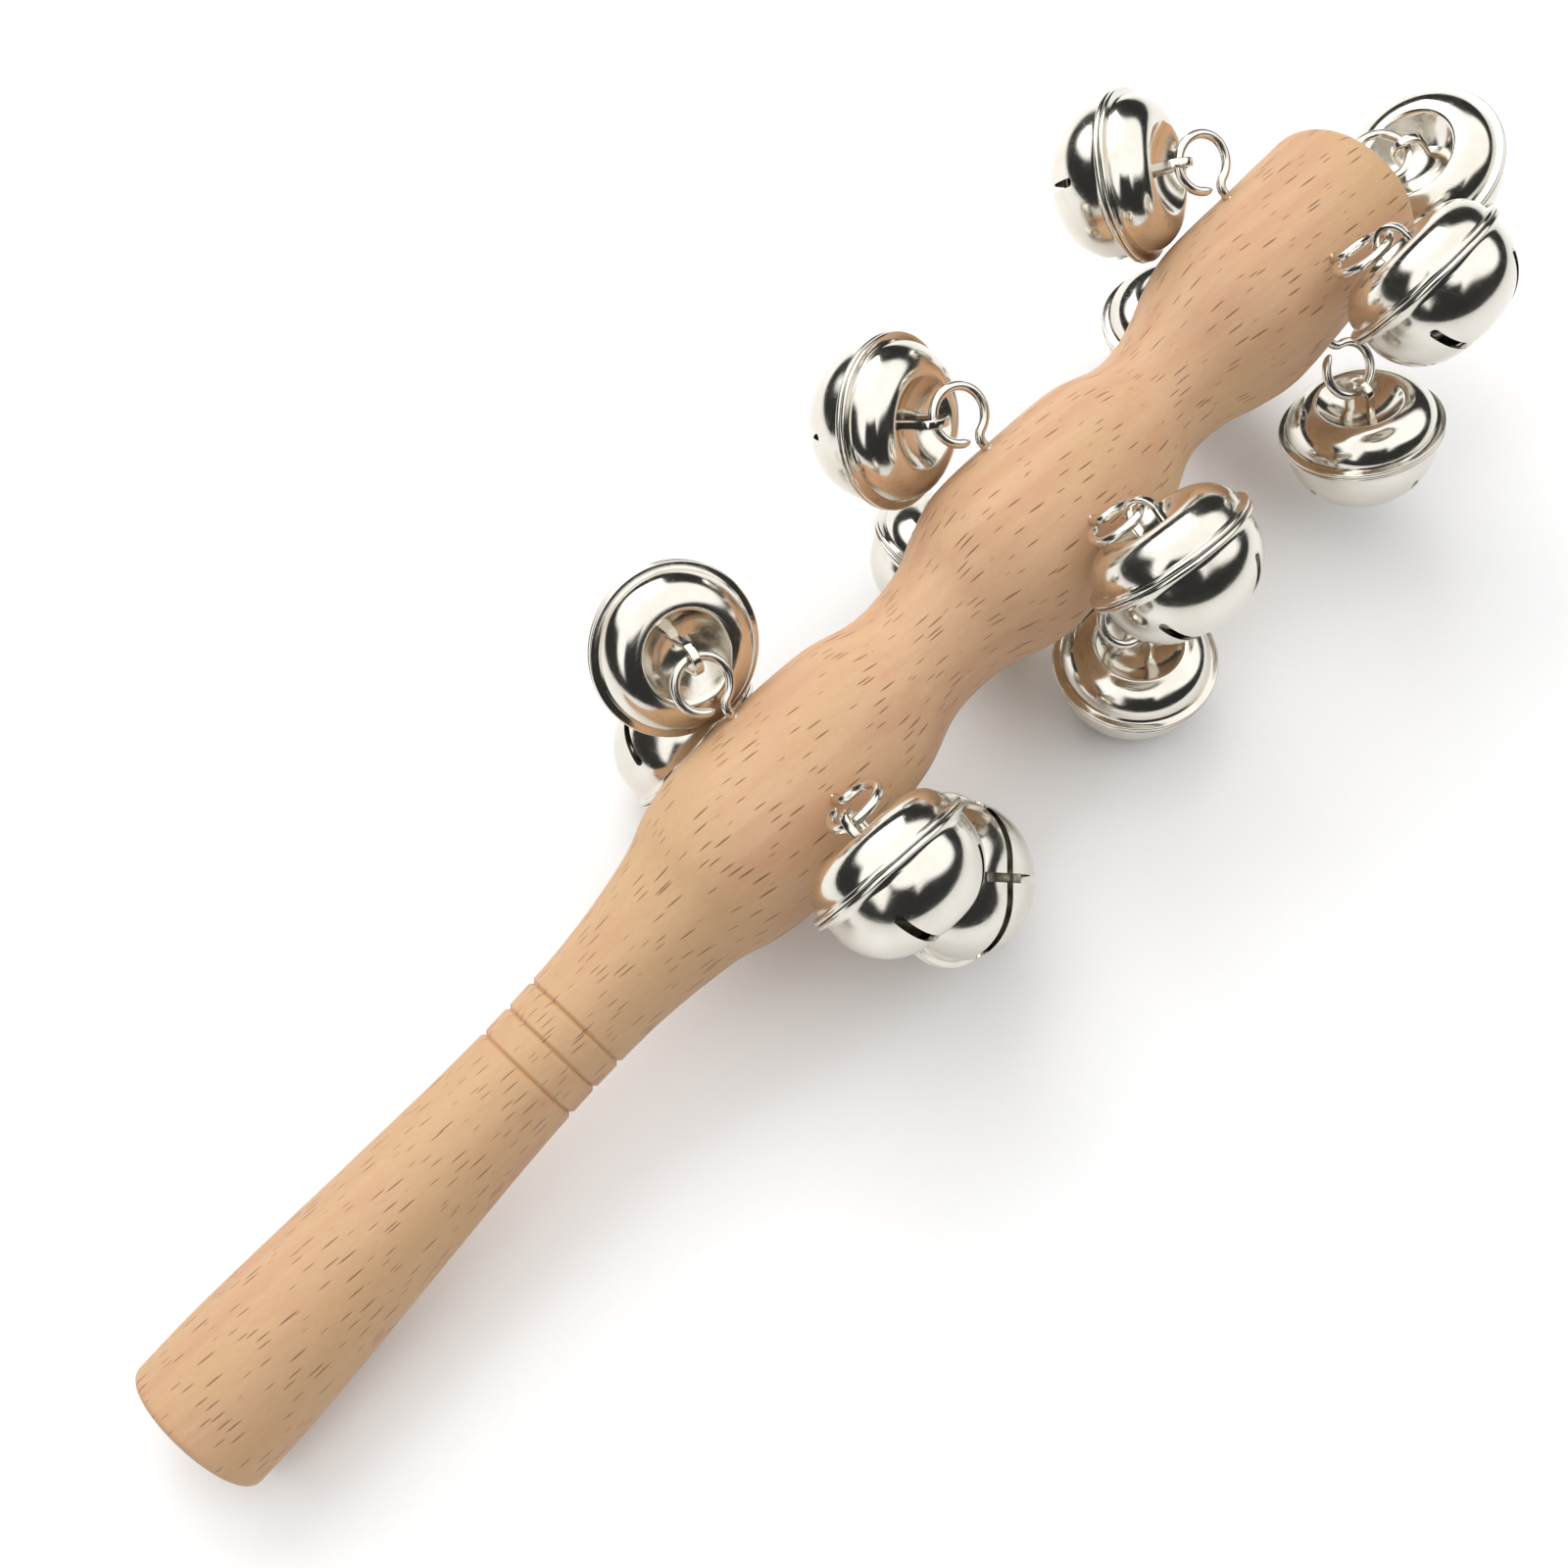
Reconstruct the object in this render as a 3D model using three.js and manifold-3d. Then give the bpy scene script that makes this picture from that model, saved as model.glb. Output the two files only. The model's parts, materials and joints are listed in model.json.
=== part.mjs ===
// Sleigh bells on a stick: a turned beech handle carrying thirteen jingle bells on screw eyes.
// Four eyes stand around each of its three swellings, and one more stands in the head end.
// Millimetres. X runs along the stick to its head, +Y is the stick's left side, +Z is up, and Z = 0 is
// the table that the stick lies on, butt end down and head end propped up by the bells under it.
import * as THREE from 'three';
import { mergeVertices } from 'three/addons/utils/BufferGeometryUtils.js';
import Module from 'manifold-3d';

const wasm = await Module();
wasm.setup();

const deg = Math.PI / 180;

// ---- sizes ----

// How far apart two pieces that touch are kept.
const gap = 0.3;

const stick = {
  length: 237,
  buttRadius: 11,
  buttRounding: 1.2,
  headRadius: 12.7,
  headRounding: 4.5,
  grooves: [61.6, 66.2, 70.8], // distances from the butt
  grooveDepth: 0.5,
  grooveHalfWidth: 0.45,
  tilt: 7.59 * deg, // head end up
  sides: 18,
};

// Distances of the twelve side eyes from the butt, by ring of four.
const stations = { near: 115, middle: 167, far: 219 };

// Turns from straight up, towards the stick's left. The four are square to each other, and the stick
// has rolled a little to its left.
const roll = 6 * deg;
const sides = {
  upper_left: 45 * deg + roll,
  upper_right: -45 * deg + roll,
  lower_right: -135 * deg + roll,
  lower_left: 135 * deg + roll,
};

const eye = {
  wire: 0.7, // radius
  ring: 3.95, // radius of the ring's centre line
  lift: 6.1, // ring centre above the wood
  opening: 26 * deg, // where the ring's end stops short of its neck
  shank: 0.85, // radius of the thread in the wood
  depth: 8,
};

const bell = {
  radius: 12.5, // over the crimped seam
  seam: 0.75, // thickness of each half's flange
  wall: 0.8,
  waist: 11.3, // radius beside the seam
  lip: 6.5, // radius of the dimple's edge
  top: 5.4, // the dimple's edge above the seam plane
  dimple: 2.5, // the dimple's floor above the seam plane
  bottom: 11, // below the seam plane
  bottomBend: 8.7, // radius between its side and its bottom
  slot: 1.3,
  slotTop: 5, // the slots end this far below the seam plane
  sides: 14,
};

const loop = {
  strip: 1.3, // width of the strip it is bent from
  thick: 0.8,
  reach: 2.5, // outer half width, and outer radius of its arch
  crown: 8.9, // its highest point above the seam plane
  sunk: 2.3, // its feet end inside the dimple's wall
};

const pellet = {
  radius: 2.4,
  centre: -4.4, // middle of the room it rattles in
  across: 6.6, // how far its centre can go from there sideways
  along: 3, // and along the bell's axis
};

// Where each bell hangs. around: how far round its eye the bell's loop has slid, from the eye's tip
// towards the stick's head. heading and rise: the way from the loop to the bell's bottom, as a turn
// from +X towards +Y and an angle above level, all in degrees. slack: how far the wire is from the
// loop's crown, where the bell isn't pulling on it.
const tight = 0.55;
const hangings = {
  near_upper_left: { around: 19, heading: 79, rise: -43, slack: 1.2 },
  near_upper_right: { around: -32, heading: -94, rise: -17 },
  near_lower_right: { around: 35, heading: -64, rise: 40, slack: 0.7 },
  near_lower_left: { around: -40, heading: 98, rise: 28 },
  middle_upper_left: { around: -62, heading: 107, rise: -30 },
  middle_upper_right: { around: 31, heading: -94, rise: -30.5 },
  middle_lower_right: { around: 0, heading: -127, rise: -87 },
  middle_lower_left: { around: -53, heading: -179, rise: -52, slack: 3.3 },
  far_upper_left: { around: -53, heading: 122, rise: -30 },
  far_upper_right: { around: 37, heading: -88, rise: -21 },
  far_lower_right: { around: -11, heading: -102, rise: -67 },
  far_lower_left: { around: -19, heading: -124, rise: -80 },
  tip: { around: 28, heading: -32, rise: -54 },
};

// ---- materials ----

const materials = {
  wood: new THREE.MeshStandardMaterial({ color: 0xdeb287, roughness: 0.6, metalness: 0 }),
  wire: new THREE.MeshStandardMaterial({ color: 0xd6d2c8, roughness: 0.15, metalness: 1 }),
  nickel: new THREE.MeshStandardMaterial({ color: 0xdcd8cc, roughness: 0.12, metalness: 1 }),
  steel: new THREE.MeshStandardMaterial({ color: 0x8c8c8c, roughness: 0.35, metalness: 1 }),
};

// ---- solids ----

// A geometry as a closed solid that can be joined and cut.
function solid(geometry) {
  const bare = geometry.clone();
  bare.deleteAttribute('normal');
  bare.deleteAttribute('uv');
  const welded = mergeVertices(bare, 1e-4);
  return new wasm.Manifold(new wasm.Mesh({
    numProp: 3,
    vertProperties: new Float32Array(welded.attributes.position.array),
    triVerts: new Uint32Array(welded.index.array),
  }));
}

// A solid back as a geometry.
function shaped(manifold) {
  const mesh = manifold.getMesh();
  const geometry = new THREE.BufferGeometry();
  geometry.setAttribute('position', new THREE.BufferAttribute(mesh.vertProperties, 3));
  geometry.setIndex(new THREE.BufferAttribute(mesh.triVerts, 1));
  geometry.computeVertexNormals();
  return geometry;
}

function node(name, geometry, material) {
  const mesh = new THREE.Mesh(geometry, material);
  mesh.name = name;
  return mesh;
}

// Points [radius, height] turned about the Z axis.
function turned(points, sideCount) {
  const profile = points.map(([radius, height]) => new THREE.Vector2(Math.max(radius, 0), height));
  return new THREE.LatheGeometry(profile, sideCount).rotateX(Math.PI / 2);
}

// Points on an arc of the given centre and radius, both ends included.
function arc(x, y, radius, from, to, steps) {
  return Array.from({ length: steps + 1 }, (_, i) => {
    const angle = from + (to - from) * i / steps;
    return [x + radius * Math.cos(angle), y + radius * Math.sin(angle)];
  });
}

// ---- the stick ----

// The turned outline between its rounded ends, [distance from the butt, radius]: a handle with a slim
// waist, then three swellings that flare up quickly, taper gently and drop back to a neck.
const outline = new THREE.SplineCurve([
  [1.5, 11], [13, 10.85], [36, 9.55], [53, 8.6], [66, 8.3], [79, 8.8],
  [91, 10.6], [97, 12.6], [103, 13.8], [109, 13.9], [119, 13.4], [129, 12.3], [136, 10.2],
  [141, 9.8], [147, 10.5], [152, 12.4], [157, 13.8], [162, 14], [171, 13.3], [181, 12.1], [187, 9.9],
  [191, 9.4], [196, 10.1], [202, 12.1], [207, 13.4], [212, 13.6], [221, 13.2], [232.5, 12.7],
].map(([x, y]) => new THREE.Vector2(x, y)));
const outlineSteps = 40;

// The outline as plain points, sampled evenly in the curve's own parameter.
const outlinePoints = outline.getPoints(outlineSteps);

// The stick's radius at a distance from its butt.
function radiusAt(x) {
  const next = outlinePoints.findIndex((point) => point.x > x);
  const [a, b] = [outlinePoints[next - 1], outlinePoints[next]];
  return THREE.MathUtils.mapLinear(x, a.x, b.x, a.y, b.y);
}

// The outline with its V grooves, as [radius, distance].
function turnedOutline() {
  const { grooves, grooveDepth, grooveHalfWidth } = stick;
  const plain = outlinePoints.slice(1, -1)
    .filter((point) => grooves.every((groove) => Math.abs(point.x - groove) > 2 * grooveHalfWidth))
    .map((point) => [point.y, point.x]);
  const cuts = grooves.flatMap((groove) => [-1, 0, 1].map((edge) => {
    const x = groove + edge * grooveHalfWidth;
    return [radiusAt(x) - (edge === 0 ? grooveDepth : 0), x];
  }));
  return [...plain, ...cuts].sort((a, b) => a[1] - b[1]);
}

function stickGeometry() {
  const { length, buttRounding, headRounding, headRadius } = stick;
  const profile = [
    [0, 0],
    ...arc(stick.buttRadius - buttRounding, buttRounding, buttRounding, -90 * deg, 0, 2),
    ...turnedOutline(),
    ...arc(headRadius - headRounding, length - headRounding, headRounding, 0, 90 * deg, 4),
    [0, length],
  ];
  let wood = solid(turned(profile, stick.sides).rotateY(Math.PI / 2));
  for (const place of places) {
    wood = wood.subtract(solid(holeGeometry().applyMatrix4(place.matrix)));
  }
  return shaped(wood);
}

// The pilot hole of a screw eye, along Z with the wood's surface at 0.
function holeGeometry() {
  const sideCount = 6;
  const radius = (eye.shank + gap) / Math.cos(Math.PI / sideCount);
  const above = 3; // clear of the curved surface
  const bottom = -eye.depth - gap;
  return turned([[0, bottom], [radius, bottom], [radius, above], [0, above]], sideCount);
}

// ---- the screw eyes ----

// A screw eye with its thread down the Z axis from the wood's surface and its ring in the XZ plane.
function eyeGeometry() {
  const start = -90 * deg;
  const turns = 360 * deg - eye.opening;
  const steps = 12;
  const points = arc(0, eye.lift, eye.ring, start, start + turns, steps);
  const path = new THREE.CatmullRomCurve3(points.map(([x, z]) => new THREE.Vector3(x, 0, z)));
  const section = new THREE.Shape().absarc(0, 0, eye.wire, 0, 2 * Math.PI);
  const ring = new THREE.ExtrudeGeometry(section, {
    steps, curveSegments: 3, bevelEnabled: false, extrudePath: path,
  });
  const neckTop = eye.lift - eye.ring + eye.wire / 2;
  const shankPoints = [
    [0, -eye.depth],
    [eye.shank, -eye.depth + eye.shank],
    [eye.shank, 0],
    [eye.wire, neckTop],
    [0, neckTop],
  ];
  const shank = turned(shankPoints, 6);
  return shaped(solid(ring).add(solid(shank)));
}

// ---- the bells ----
// Each is drawn about its own Z axis, loop up, with the seam between its halves at 0.

// The upper half: a flange, a shoulder, a rolled lip and a dimple, with the strip loop standing in it.
function capGeometry() {
  const { wall, waist, lip, top, dimple } = bell;
  const shoulder = waist - lip;
  const shoulderHeight = top - shoulder;
  const steps = 3;
  // The dimple is a shallow dish: an arc centred on the axis that meets the lip and the floor.
  const dish = (lip ** 2 + (top - dimple) ** 2) / (2 * (top - dimple));
  const reach = Math.asin(lip / dish);
  const dishArc = (radius, turn, from, to) => arc(
    0, dimple + dish, radius, turn * from - 90 * deg, turn * to - 90 * deg, 1,
  );
  // Underneath, the dish and the shoulder each stop a little short of the lip, and a flat joins them.
  const innerReach = reach * 0.93;
  const innerShoulder = 75 * deg;
  const profile = [
    ...dishArc(dish + wall, innerReach, 0, 1),
    ...arc(lip, shoulderHeight, shoulder - wall, innerShoulder, 0, 2),
    [waist - wall, gap / 2],
    [bell.radius, gap / 2],
    [bell.radius, bell.seam],
    ...arc(lip, shoulderHeight, shoulder, 0, 90 * deg, steps),
    ...dishArc(dish, reach, 1, 0).slice(1),
  ];
  return shaped(solid(turned(profile, bell.sides)).add(solid(loopGeometry())));
}

// The loop: a flat strip bent to an arch over the X axis, so its opening looks along Y.
function loopGeometry() {
  const inner = loop.reach - loop.thick;
  const spring = loop.crown - loop.reach;
  const arch = [
    [loop.reach, loop.sunk],
    ...arc(0, spring, loop.reach, 0, 180 * deg, 5),
    [-loop.reach, loop.sunk],
    [-inner, loop.sunk],
    ...arc(0, spring, inner, 180 * deg, 0, 5),
    [inner, loop.sunk],
  ];
  const shape = new THREE.Shape(arch.map(([x, y]) => new THREE.Vector2(x, y)));
  return new THREE.ExtrudeGeometry(shape, { depth: loop.strip, bevelEnabled: false })
    .translate(0, 0, -loop.strip / 2)
    .rotateX(90 * deg);
}

// The lower half: a flange, an upright wall and a round bottom, cut by two crossing slots.
function cupGeometry() {
  const { wall, waist, bottom, bottomBend: bend } = bell;
  const steps = 3;
  const corner = [waist - bend, bend - bottom];
  const profile = [
    [0, -bottom],
    ...arc(...corner, bend, -90 * deg, 0, steps),
    [waist, -bell.seam],
    [bell.radius, -bell.seam],
    [bell.radius, -gap / 2],
    [waist - wall, -gap / 2],
    ...arc(...corner, bend - wall, 0, -90 * deg, steps - 1),
    [0, wall - bottom],
  ];
  const blade = new THREE.BoxGeometry(3 * bell.radius, bell.slot, bottom)
    .translate(0, 0, -bell.slotTop - bottom / 2);
  const cup = solid(turned(profile, bell.sides));
  return shaped(cup.subtract(solid(blade)).subtract(solid(blade.clone().rotateZ(90 * deg))));
}

function pelletGeometry() {
  return new THREE.IcosahedronGeometry(pellet.radius, 1);
}

// ---- putting it together ----

// The stick's own frame. Its axis starts high enough for the rounded rim of its butt to lie on the table.
const rimRadius = stick.buttRadius - stick.buttRounding;
const buttHeight = rimRadius * Math.cos(stick.tilt) + stick.buttRounding * (1 - Math.sin(stick.tilt));
const stickFrame = new THREE.Matrix4()
  .makeTranslation(0, 0, buttHeight)
  .multiply(new THREE.Matrix4().makeRotationY(-stick.tilt));

// Every eye's place in the stick's frame: its Z axis out of the wood and its ring along the stick.
const places = [];
for (const [station, x] of Object.entries(stations)) {
  for (const [side, turn] of Object.entries(sides)) {
    const matrix = new THREE.Matrix4()
      .makeRotationX(-turn)
      .multiply(new THREE.Matrix4().makeTranslation(x, 0, radiusAt(x)));
    places.push({ name: `${station}_${side}`, matrix });
  }
}
// The end eye stands along the stick, with its ring lying flat.
const endEye = new THREE.Matrix4().makeBasis(
  new THREE.Vector3(0, -1, 0), new THREE.Vector3(0, 0, -1), new THREE.Vector3(1, 0, 0),
);
places.push({
  name: 'tip',
  matrix: new THREE.Matrix4().makeTranslation(stick.length, 0, 0).multiply(endEye),
});

// A bell's frame: its loop's crown rests on the eye's wire, and its opening follows the wire.
function bellFrame(place, hanging) {
  const world = stickFrame.clone().multiply(place.matrix);
  const around = hanging.around * deg;
  const contact = new THREE.Vector3(Math.sin(around), 0, Math.cos(around))
    .multiplyScalar(eye.ring).add(new THREE.Vector3(0, 0, eye.lift)).applyMatrix4(world);
  const wire = new THREE.Vector3(Math.cos(around), 0, -Math.sin(around)).transformDirection(world);
  const [heading, rise] = [hanging.heading * deg, hanging.rise * deg];
  const down = new THREE.Vector3(
    Math.cos(heading) * Math.cos(rise), Math.sin(heading) * Math.cos(rise), Math.sin(rise),
  );
  const up = down.clone().negate();
  const along = wire.clone().addScaledVector(up, -wire.dot(up)).normalize();
  const across = new THREE.Vector3().crossVectors(along, up);
  const crown = loop.crown - loop.thick - eye.wire - (hanging.slack ?? tight);
  const centre = contact.addScaledVector(down, crown);
  return new THREE.Matrix4().makeBasis(across, along, up).setPosition(centre);
}

// The pellet lies at the lowest point of the room it has inside its bell.
function pelletPlace(frame) {
  const fall = new THREE.Vector3(0, 0, -1).transformDirection(frame.clone().invert());
  const reach = 1 / Math.hypot(fall.x / pellet.across, fall.y / pellet.across, fall.z / pellet.along);
  return fall.multiplyScalar(reach).add(new THREE.Vector3(0, 0, pellet.centre));
}

const shapes = {
  eye: eyeGeometry(),
  cap: capGeometry(),
  cup: cupGeometry(),
  pellet: pelletGeometry(),
};

const lying = new THREE.Group();
const stickGroup = new THREE.Group();
stickGroup.applyMatrix4(stickFrame);
stickGroup.add(node('stick', stickGeometry(), materials.wood));
lying.add(stickGroup);

for (const place of places) {
  const screwEye = node(`${place.name}_eye`, shapes.eye, materials.wire);
  screwEye.applyMatrix4(place.matrix);
  stickGroup.add(screwEye);

  const frame = bellFrame(place, hangings[place.name]);
  const bellGroup = new THREE.Group();
  bellGroup.applyMatrix4(frame);
  bellGroup.add(node(`${place.name}_cap`, shapes.cap, materials.nickel));
  bellGroup.add(node(`${place.name}_cup`, shapes.cup, materials.nickel));
  const ball = node(`${place.name}_pellet`, shapes.pellet, materials.steel);
  ball.position.copy(pelletPlace(frame));
  bellGroup.add(ball);
  lying.add(bellGroup);
}

// The frame's origin is under the middle of the whole thing, on the table.
lying.updateMatrixWorld(true);
const bounds = new THREE.Box3().setFromObject(lying, true);
const middle = bounds.getCenter(new THREE.Vector3());
lying.position.set(-middle.x, -middle.y, -bounds.min.z);

const sleighBells = new THREE.Group();
sleighBells.add(lying);

export default sleighBells;
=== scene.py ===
import json
import math

import bmesh
import bpy
from mathutils import Matrix, Vector, noise


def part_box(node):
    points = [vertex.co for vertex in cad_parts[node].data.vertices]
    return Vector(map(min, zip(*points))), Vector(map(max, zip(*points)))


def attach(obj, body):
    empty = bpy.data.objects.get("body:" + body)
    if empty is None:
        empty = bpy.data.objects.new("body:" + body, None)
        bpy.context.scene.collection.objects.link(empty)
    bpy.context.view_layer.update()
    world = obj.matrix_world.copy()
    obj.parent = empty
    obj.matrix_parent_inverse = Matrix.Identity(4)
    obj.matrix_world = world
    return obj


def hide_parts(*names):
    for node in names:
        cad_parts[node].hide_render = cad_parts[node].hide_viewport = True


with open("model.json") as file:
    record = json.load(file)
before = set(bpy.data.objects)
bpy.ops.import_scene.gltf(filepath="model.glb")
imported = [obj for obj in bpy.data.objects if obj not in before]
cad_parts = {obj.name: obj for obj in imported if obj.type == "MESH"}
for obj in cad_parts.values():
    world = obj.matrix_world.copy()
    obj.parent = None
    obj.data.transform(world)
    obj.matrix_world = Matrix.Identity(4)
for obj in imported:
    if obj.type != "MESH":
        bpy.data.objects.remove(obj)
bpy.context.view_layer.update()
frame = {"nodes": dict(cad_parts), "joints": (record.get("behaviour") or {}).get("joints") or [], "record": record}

mm = 0.001               # shapes are drawn in millimetres and made in metres
scene = bpy.context.scene
joints = {joint["name"]: joint for joint in frame["joints"]}
bellNames = [name[len("swing_"):] for name in joints if name.startswith("swing_")]


# Adding and joining shader nodes in one tree.
class Nodes:
    def __init__(self, tree):
        self.tree = tree

    def feed(self, socket, value):
        if isinstance(value, bpy.types.NodeSocket):
            self.tree.links.new(value, socket)
        else:
            socket.default_value = value

    def add(self, kind, settings=None, **inputs):
        node = self.tree.nodes.new(kind)
        for key, value in (settings or {}).items():
            setattr(node, key, value)
        for key, value in inputs.items():
            self.feed(node.inputs[key.replace("_", " ")], value)
        return node

    def math(self, operation, *values):
        node = self.add("ShaderNodeMath", {"operation": operation})
        for socket, value in zip(node.inputs, values):
            self.feed(socket, value)
        return node.outputs[0]

    def vector(self, operation, *values):
        node = self.add("ShaderNodeVectorMath", {"operation": operation})
        for socket, value in zip(node.inputs, values):
            self.feed(socket, value)
        return node.outputs["Value" if operation == "LENGTH" else 0]

    def mix(self, factor, first, second):
        node = self.add("ShaderNodeMix", {"data_type": "RGBA"})
        for index, value in zip((0, 6, 7), (factor, first, second)):
            self.feed(node.inputs[index], value)
        return node.outputs[2]

    # value's place between low and high, eased, as a number between 0 and 1
    def ramp(self, value, low, high):
        node = self.add("ShaderNodeMapRange", {"interpolation_type": "SMOOTHSTEP"})
        for index, part in enumerate((value, low, high)):
            self.feed(node.inputs[index], part)
        return node.outputs[0]

    def noise(self, vector, scale, detail=2.0):
        return self.add("ShaderNodeTexNoise", Vector=vector, Scale=scale, Detail=detail).outputs[0]


# A shader group with inputs {name: (socket kind, default)} and outputs {name: socket kind}.
def newGroup(name, inputs, outputs):
    tree = bpy.data.node_groups.new(name, "ShaderNodeTree")
    for label, (kind, value) in inputs.items():
        socket = tree.interface.new_socket(label, in_out="INPUT", socket_type="NodeSocket" + kind)
        if value is not None:
            socket.default_value = value
    for label, kind in outputs.items():
        tree.interface.new_socket(label, in_out="OUTPUT", socket_type="NodeSocket" + kind)
    nodes = Nodes(tree)
    return nodes, nodes.add("NodeGroupInput").outputs, nodes.add("NodeGroupOutput").inputs


def newMaterial(name):
    material = bpy.data.materials.new(name)
    material.use_nodes = True
    shader = material.node_tree.nodes["Principled BSDF"]
    return material, Nodes(material.node_tree), shader


# Places on the object itself, in millimetres, so that every pattern has its real size.
def ownMillimetres(nodes):
    place = nodes.add("ShaderNodeTexCoord").outputs["Object"]
    return nodes.vector("MULTIPLY", place, (1 / mm, 1 / mm, 1 / mm))


# Fine lengthwise figure of beech: streaks of tone, arched year rings, pores and short dark rays.
beech = {
    "pale": (0.625, 0.395, 0.235, 1),
    "pink": (0.560, 0.318, 0.185, 1),
    "straw": (0.600, 0.390, 0.205, 1),
    "mottle": (0.48, 0.28, 0.16, 1),
    "ring": (0.60, 0.33, 0.16, 1),
    "pore": (0.55, 0.31, 0.16, 1),
    "ray": (0.150, 0.065, 0.028, 1),
    "strength": {"straw": 0.65, "mottle": 0.14, "ring": 0.10, "pore": 0.20, "ray": 0.78},

    # change per millimetre along and across the grain, detail, and the values where it starts and is full
    "streaks": ((0.018, 0.30, 0.30), 4.0, 0.30, 0.72),
    "patches": ((0.035, 0.06, 0.06), 3.0, 0.42, 0.60),
    "mottles": ((0.7, 1.8, 1.8), 3.0, 0.35, 0.65),
    "pores": ((0.35, 5.0, 5.0), 2.0, 0.52, 0.72),

    "rayHalfWidth": 0.125,
    "raySpacing": 0.92,
    "rayLength": 11.0,       # times as long as wide
    "raySlope": math.radians(9),
    "rayLeast": 0.35,        # size of the smallest ray, and the largest is 1 more
    "rayCore": 0.55,         # share of a ray that is fully dark
    "unrolledAt": 12.0,      # radius at which the rays have their true width

    "ringSpacing": 2.6,
    "ringCentre": (0, 26, -34),
    "ringEdges": (0.2, 1.0),
    "ringWander": 9.0,       # millimetres that the rings stray
    "wanderScale": (0.02, 0.06, 0.06),

    "roughness": 0.60,
    "rubbedSmooth": 0.12,
    "poreRough": 0.08,
    "relief": {"ray": -0.6, "pore": -0.25, "hairline": -0.1},
    "reliefHeight": 0.08,
    "reliefStrength": 0.35,
    "sheen": 0.32,
    "scratchSize": 0.9,      # millimetres between hairlines
    "patchSize": 22.0,
}

# Bright nickel plate on stamped steel. ripple is the soft unevenness of pressed sheet.
nickel = {
    "colour": (0.735, 0.705, 0.640, 1),
    "warm": (0.640, 0.595, 0.510, 1),
    "roughness": 0.11,
    "rubbed": 0.05,          # roughness that rubbing adds
    "scratchSize": 0.35,
    "ripple": 0.012,
}

wire = {
    "colour": (0.740, 0.715, 0.660, 1),
    "warm": (0.66, 0.62, 0.55, 1),
    "roughness": 0.15,
    "rubbed": 0.08,
    "scratchSize": 0.3,
    "ripple": 0.01,
}

ballSteel = {
    "colour": (0.33, 0.325, 0.315, 1),
    "warm": (0.24, 0.22, 0.20, 1),
    "roughness": 0.34,
    "rubbed": 0.15,
    "scratchSize": 0.3,
    "ripple": 0.02,
}

# What the three metals share.
metalWear = {
    "patchSize": 5.0,
    "warmth": 0.45,          # share of the warm colour where it is rubbed
    "hairlineRough": 0.06,
    "hairlineDepth": 0.0008,
    "rippleScale": 0.28,
}

# Hairlines run three ways and are thin. Rubbed patches are broad.
marks = {
    "turns": ((0.3, 0.2, 0.1), (1.1, 0.7, 2.0), (2.2, 1.9, 0.6)),
    "stretch": 0.03,         # a hairline's width over its length
    "hairlineEdges": (0.69, 0.76),
    "rubEdges": (0.38, 0.70),
    "spacing": 0.4,
    "patchSize": 8.0,
}


# Hairlines and rubbed patches: what handling leaves on a hard surface.
def makeHandlingGroup():
    nodes, given, out = newGroup(
        "handling marks",
        {"Place": ("Vector", None), "Spacing": ("Float", marks["spacing"]),
         "Patch size": ("Float", marks["patchSize"])},
        {"Rub": "Float", "Hairlines": "Float"},
    )
    fine = nodes.math("DIVIDE", 1.0, given["Spacing"])
    lines = []
    for turn in marks["turns"]:
        turned = nodes.add("ShaderNodeVectorRotate", {"rotation_type": "EULER_XYZ"},
                           Vector=given["Place"], Rotation=turn).outputs[0]
        stretched = nodes.vector("MULTIPLY", turned, (marks["stretch"], 1.0, 1.0))
        lines.append(nodes.ramp(nodes.noise(stretched, fine, 0.0), *marks["hairlineEdges"]))
    nodes.feed(out["Hairlines"], nodes.math("MAXIMUM", nodes.math("MAXIMUM", *lines[:2]), lines[2]))
    patch = nodes.noise(given["Place"], nodes.math("DIVIDE", 1.0, given["Patch size"]), 3.0)
    nodes.feed(out["Rub"], nodes.ramp(patch, *marks["rubEdges"]))
    return nodes.tree


handling = makeHandlingGroup()


def handlingMarks(nodes, place, spacing, patchSize):
    group = nodes.add("ShaderNodeGroup", {"node_tree": handling}, Place=place, Spacing=spacing,
                      Patch_size=patchSize)
    return group.outputs["Rub"], group.outputs["Hairlines"]


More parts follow.
